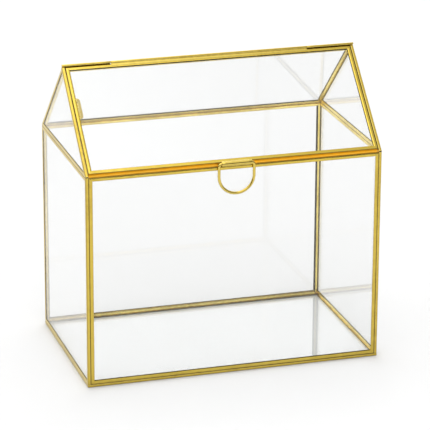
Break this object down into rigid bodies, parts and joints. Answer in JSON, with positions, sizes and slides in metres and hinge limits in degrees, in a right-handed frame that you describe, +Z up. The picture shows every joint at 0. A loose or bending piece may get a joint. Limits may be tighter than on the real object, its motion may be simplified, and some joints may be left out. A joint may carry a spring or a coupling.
{
  "type": "wedding card box",
  "caption": "House-shaped glass box with brass-channel edges, a front roof lid hinged on the ridge and a D-ring pull.",
  "frame": {"origin": "centre of the floor's underside, on the surface the box stands on", "axes": "+X along the ridge to the right, +Y to the back, +Z up; the lid and its ring are at the front, -Y"},
  "size_m": [0.25, 0.1537, 0.2528],
  "materials": {
    "brass": "polished",
    "glass": "clear"
  },
  "bodies": {
    "box": {"back_bottom_strip": "brass", "back_glass": "glass", "back_left_strip": "brass", "back_right_strip": "brass", "back_roof_bottom_strip": "brass", "back_roof_glass": "glass", "back_roof_left_strip": "brass", "back_roof_right_strip": "brass", "back_roof_top_strip": "brass", "back_top_strip": "brass", "floor_back_strip": "brass", "floor_front_strip": "brass", "floor_glass": "glass", "floor_left_strip": "brass", "floor_right_strip": "brass", "front_bottom_strip": "brass", "front_glass": "glass", "front_left_strip": "brass", "front_right_strip": "brass", "front_top_strip": "brass", "hinge_pin": "brass", "left_back_strip": "brass", "left_bottom_strip": "brass", "left_front_strip": "brass", "left_gable_back_strip": "brass", "left_gable_bottom_strip": "brass", "left_gable_front_strip": "brass", "left_gable_glass": "glass", "left_glass": "glass", "left_knuckle": "brass", "left_top_strip": "brass", "lid_rest": "brass", "lid_stop": "brass", "rest_button": "brass", "right_back_strip": "brass", "right_bottom_strip": "brass", "right_front_strip": "brass", "right_gable_back_strip": "brass", "right_gable_bottom_strip": "brass", "right_gable_front_strip": "brass", "right_gable_glass": "glass", "right_glass": "glass", "right_knuckle": "brass", "right_top_strip": "brass"},
    "lid": {"lid_bottom_strip": "brass", "lid_glass": "glass", "lid_knuckle": "brass", "lid_left_strip": "brass", "lid_right_strip": "brass", "lid_top_strip": "brass", "ring_sleeve": "brass"},
    "ring": {"pull_ring": "brass"}
  },
  "joints": [
    {"name": "lid_hinge", "type": "hinge", "parent": "box", "child": "lid", "pos_m": [0, 0, 0.2518], "axis": [-1, 0, 0], "range_deg": [0, 255]},
    {"name": "ring_hinge", "type": "hinge", "parent": "lid", "child": "ring", "pos_m": [0, -0.07655, 0.18188], "axis": [-1, 0, 0], "range_deg": [0, 225]}
  ]
}
